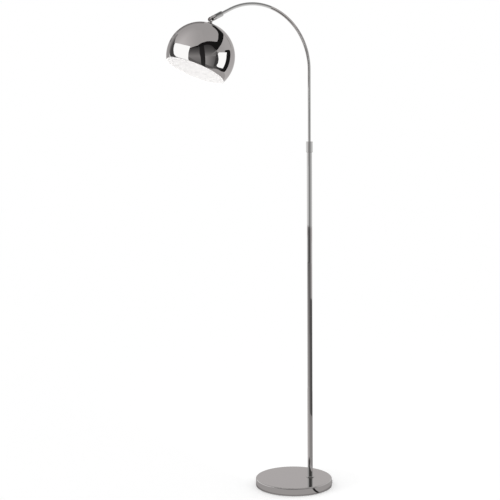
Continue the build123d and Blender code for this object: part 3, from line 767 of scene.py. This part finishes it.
dome_card("dim_top", [(-36, 10, 20), (-29, 10, 21), (-20, 10, 23), (-6, 10, 23), (4, 10, 27), (12, 10, 30),
                      (26, 10, 30), (38, 10, 25), (43.5, 10, 14)], DIM_TOP_LAYER, grey(0.18), grey(0.06))
dome_card("dim_middle", [(-36, -2, 10), (-20, -2, 10), (-6, -2, 10), (8, -2, 10), (26, -2, 10), (38, -2, 10),
                         (43.5, -2, 10), (46, -2, 6), (49, -2, 0)], DIM_MIDDLE_LAYER, grey(0.40), grey(0.18))
dome_card("dim_low_left", even_columns(-36, 4, -24, -2, 4), DIM_LOW_LAYER, grey(0.24), grey(0.40))
dome_card("dim_low_right", even_columns(4, 51, -34, -2, 8), DIM_LOW_LAYER, grey(0.63), grey(0.11), sideways_blend)
dome_card("dim_sill", [(-36, -50, -3), (-31, -50, -5), (-26, -50, -8), (-20, -50, -11.5), (-12, -50, -16),
                       (3, -50, -21), (14, -50, -24), (27, -35, -28), (40, -36, -30), (46, -34, -30)],
          SILL_LAYER, grey(0.17), grey(0.22))
dome_card("dark_stripe", [(-3, 6, 24), (0, -6, 25), (3, -42, 27), (10, -42, 28), (14, -40, -20)],
          STRIPE_LAYER, grey(0.05), grey(0.025))
dome_card("black_brow", [(-29, 19.5, 20.5), (-20, 22.3, 24), (-9, 22.5, 27), (4, 25, 35), (12, 28, 37),
                         (21, 29.5, 39), (33, 27, 39), (40, 20, 38.2), (44, 15, 37.6), (48, 13, 36.9),
                         (51, 15.2, 36.3), (55, 18, 35.8), (58, 20.4, 35.5), (62, 23, 37.7), (70, 27.3, 42.1),
                         (78, 31.5, 46.5), (87, 34.9, 49.5), (97, 37.8, 51.7), (107, 39.7, 54), (113, 39.9, 55.5),
                         (120, 40, 56.8), (128, 41, 58.3), (134, 43.3, 58.8), (145, 47.5, 57), (151, 50, 54)],
          EDGE_LAYER, grey(0.018), grey(0.018))
dome_card("light_wedge", [(31, 1, 4), (38, 5, 8), (44, 8.5, 12), (48, 10, 16)], WEDGE_LAYER, grey(0.42), grey(0.30))
dome_card("paper_low", even_columns(-60, 150, -80, -33, 14), BACK_LAYER, grey(0.60), grey(0.66))
dome_card("grey_above", even_columns(-119, 12, 21, 80, 16), BACK_LAYER, grey(1.08), grey(0.68), low_left_glow)
dome_card("grey_right", [(49, 8, 18), (56, 8, 22.5), (68, 8, 30), (79, 8, 35), (85, 8, 37), (107, 10, 41.5),
                         (130, 11, 44.5), (150, 14, 51)], BACK_LAYER, grey(0.66), grey(0.80), sideways_blend)
print(len(cards), "cards with the dim room")


# %% The dark outline at the top of the dome
def slanted_column(first, last):
    """From one direction to another, both (azimuth, elevation), on the sphere of near cards."""
    def point(way):
        azimuth, elevation = (a + (b - a) * way for a, b in zip(first, last))
        return from_dome(azimuth, elevation, SIDE_LAYER)
    return point


outline_directions = [((-124, 23), (-150, 14)), ((-126, 32), (-152, 20)), ((-129, 40), (-155, 25)),
                      ((-135, 47), (-158, 30)), ((-143, 54), (-163, 34)), ((-155, 59), (-169, 37)),
                      ((-172, 62), (-177, 38)), ((-190, 62), (-186, 38))]
hang_card("rim_above", [slanted_column(first, last) for first, last in outline_directions], grey(0.62), grey(0.12))
print(len(cards), "cards round the dome")

# %% [markdown]
# ## What the tubes and the foot show
# A tube shows the room as lines along its length, and the foot shows the far side of the tent on its top and the
# floor in its rim. Both look past the near cards. So a grey tent stands round everything, walls set the tones by
# side and height, and patches of floor set them by side and distance.

# %% The tent
TENT = 8.0
TENT_COLUMNS = 72
dome_card("tent_low", even_columns(-180, 180, -89.0, 18, TENT_COLUMNS), TENT, tent_grey(0.88), tent_grey(0.84))
dome_card("tent_middle", even_columns(-180, 180, 18, 42, TENT_COLUMNS), TENT, tent_grey(0.84), tent_grey(0.69))
dome_card("tent_high", even_columns(-180, 180, 42, 89.9, TENT_COLUMNS), TENT, tent_grey(0.69), tent_grey(0.67))
print(len(cards), "cards with the tent")

# %% Walls
WALL_STEPS = 12


def wall_card(name, start, stop, bottom, top, distance, low, high, blend=upwards):
    """An upright card round the lamp, between two azimuths and two heights."""
    def column(azimuth):
        foot = level_direction(azimuth) * distance
        return lambda way: foot + (bottom + (top - bottom) * way) * UP
    hang_card(name, [column(start + (stop - start) * k / WALL_STEPS) for k in range(WALL_STEPS + 1)],
              low, high, blend)


wall_card("side_left", -155, -66, 0.28, 2.2, 5.95, plain(1.45), plain(1.2), sideways_blend)
wall_card("front_left", -66, -22, 0.28, 1.56, 5.9, plain(1.2), plain(0.40), sideways_blend)
wall_card("front_middle", -22, 20, 0.28, 1.56, 5.9, plain(0.40), plain(0.42), sideways_blend)
wall_card("front_right", 20, 72, 0.28, 1.56, 5.9, plain(0.42), plain(1.06), sideways_blend)
wall_card("side_right", 72, 155, 0.28, 2.2, 5.95, plain(1.06), plain(1.1), sideways_blend)
wall_card("room_high", -70, 75, 1.55, 5.6, 6.0, tent_grey(0.17), tent_grey(0.17))
wall_card("room_low", -75, 18, 0.0, 0.29, 5.8, tent_grey(0.15), tent_grey(0.15))
wall_card("room_low_right", 18, 80, 0.0, 0.29, 5.8, tent_grey(0.2), tent_grey(0.9), sideways_blend)
print(len(cards), "cards with the walls")

# %% Patches of floor
FLOOR_STEPS = 48


def floor_card(name, start, stop, near, far, lift, low, high, blend=upwards):
    """A patch of floor between two azimuths and two distances, lifted a little so that patches don't touch."""
    def column(azimuth):
        way_out = level_direction(azimuth)
        return lambda way: way_out * (near + (far - near) * way) + lift * UP
    hang_card(name, [column(start + (stop - start) * k / FLOOR_STEPS) for k in range(FLOOR_STEPS + 1)],
              low, high, blend)


floor_card("floor_round", -180, 180, 0.112, 1.3, 0.001, tent_grey(0.64), tent_grey(0.64))
floor_card("floor_front", -35, 110, 0.24, 0.95, 0.002, tent_grey(0.50), tent_grey(0.46))
floor_card("floor_left", -110, -42, 0.22, 1.3, 0.002, tent_grey(0.95), tent_grey(0.75))
floor_card("floor_far_right", 8, 112, 0.9, 3.9, 0.003, tent_grey(0.14), tent_grey(0.16))
floor_card("floor_light_right", 8, 112, 3.9, 5.8, 0.003, tent_grey(0.16), tent_grey(1.0), sideways_blend)
floor_card("floor_middle", -42, 8, 0.9, 2.6, 0.003, tent_grey(0.40), tent_grey(0.30))
floor_card("floor_far_middle", -42, 8, 2.6, 5.8, 0.003, tent_grey(0.34), tent_grey(0.17), sideways_blend)
floor_card("floor_far_left", -100, -42, 1.3, 5.8, 0.003, tent_grey(0.60), tent_grey(0.25))
floor_card("foot_shadow", -60, 2, 0.18, 0.255, 0.004, tent_grey(0.05), tent_grey(0.09))
floor_card("rim_line", 32.5, 37.5, 0.115, 0.2, 0.004, tent_grey(0.03), tent_grey(0.03))
# A dark ring on the floor close round the foot, seen only in the rim's reflection: a painted contact shadow.
floor_card("floor_contact_shadow", -180, 180, 0.1125, 0.124, 0.0025, tent_grey(0.22), tent_grey(0.56))
print(len(cards), "cards with the floor")

# %% [markdown]
# ## The tones along the bent stem
# A thin bent tube gathers the whole room into a few lines, so a far card can't set the tone along its bend, while
# a glowing card close to the tube can. A sleeve of tones therefore stands round the bend and the ferrule: a painted
# reflection, its tones turned round from the side that faces the camera. It shows only to reflections shorter than
# its reach, to keep it to the tube that it stands round.

# %% How the tone runs round the tube
SLEEVE_SPAN = 160.0
SLEEVE_REACH = 0.022
SLEEVE_TONES = ((-160, 0.0), (-60, 0.0), (-33, 0.14), (0, 0.59), (33, 1.0), (50, 1.0), (80, 0.7), (160, 0.55))


def round_tube(across, up):
    """How far the second tone shows at an angle round the tube; 0 degrees faces the camera."""
    angle = SLEEVE_SPAN * (2 * up - 1)
    for (a, first), (b, second) in zip(SLEEVE_TONES, SLEEVE_TONES[1:]):
        if angle <= b:
            return first + (second - first) * (angle - a) / (b - a)
    return SLEEVE_TONES[-1][1]


def sleeve_column(middle, along, radius):
    facing = EYE - middle
    facing = (facing - facing.dot(along) * along).normalized()
    upper = facing.cross(along)

    def point(way):
        a = radians(SLEEVE_SPAN * (2 * way - 1))
        return middle + radius * (cos(a) * facing + sin(a) * upper)
    return point


print("sleeve spans", 2 * SLEEVE_SPAN, "degrees of the tube")

# %% Set the sleeve round the bend and the ferrule
BEND_RADIUS = 0.1828
BEND_SWEEP = radians(116.2)
BEND_STOP = radians(72.0)
BEND_STEPS = 24
FERRULE = 0.038
FERRULE_CLEAR = 0.017
FERRULE_STEPS = 4
STRAIGHT = 0.0659
STRAIGHT_STEPS = 3
FERRULE_SLEEVE = 0.014
STEM_SLEEVE = 0.012

end_way = Vector((sin(BEND_SWEEP), 0.0, -cos(BEND_SWEEP)))
bend_end = pivot + STRAIGHT * end_way
bend_middle = bend_end - BEND_RADIUS * Vector((cos(BEND_SWEEP), 0.0, sin(BEND_SWEEP)))
ferrule_columns = []
for k in range(FERRULE_STEPS + 1):
    way = FERRULE_CLEAR + (FERRULE - FERRULE_CLEAR) * k / FERRULE_STEPS
    ferrule_columns.append(sleeve_column(pivot + end_way * way, end_way, FERRULE_SLEEVE))
stem_columns = []
for k in range(STRAIGHT_STEPS):
    way = FERRULE + (STRAIGHT - FERRULE) * k / STRAIGHT_STEPS
    stem_columns.append(sleeve_column(pivot + end_way * way, end_way, STEM_SLEEVE))
for k in range(BEND_STEPS + 1):
    turn = BEND_SWEEP + (BEND_STOP - BEND_SWEEP) * k / BEND_STEPS
    spoke = Vector((cos(turn), 0.0, sin(turn)))
    along = Vector((sin(turn), 0.0, -cos(turn)))
    stem_columns.append(sleeve_column(bend_middle + BEND_RADIUS * spoke, along, STEM_SLEEVE))
# Both sleeves are painted reflections: bands of tone that only the tube's own reflections see.
hang_card("ferrule_painted_reflection", ferrule_columns, plain(1.05), plain(0.12), round_tube, SLEEVE_REACH)
hang_card("stem_painted_reflection", stem_columns, plain(1.25), plain(0.30), round_tube, SLEEVE_REACH)
print(len(cards), "cards with the sleeves")

# %% [markdown]
# ## The light
# The white world lights the lamp evenly, as a light tent does. The inside of the dome looks down and would be too
# dim with that alone, so one soft lamp, low and a little to its left, shines up into it until it is as white as
# its enamel.

# %% The fill light
FILL_AZIMUTH = -60
FILL_OUT = 0.35
FILL_DOWN = 1.1
FILL_SIDE = 0.4
FILL_RADIANCE = 41.5


def soft_lamp(name, place, aim, width, height, radiance):
    """A flat light; radiance is how bright its face looks. Neither the camera nor reflections see it."""
    data = bpy.data.lights.new(name, "AREA")
    data.shape = "RECTANGLE"
    data.size, data.size_y = width, height
    data.energy = radiance * pi * width * height
    lamp = bpy.data.objects.new(name, data)
    scene.collection.objects.link(lamp)
    lamp.matrix_world = Matrix.Translation(place) @ (aim - place).to_track_quat("-Z", "Y").to_matrix().to_4x4()
    lamp.visible_camera = False
    lamp.visible_glossy = False
    return lamp


fill_place = dome_middle + level_direction(FILL_AZIMUTH) * FILL_OUT - FILL_DOWN * UP
fill = soft_lamp("fill_low", fill_place, dome_middle, FILL_SIDE, FILL_SIDE, FILL_RADIANCE)
print(fill.name, round(fill.data.energy, 1), "W")
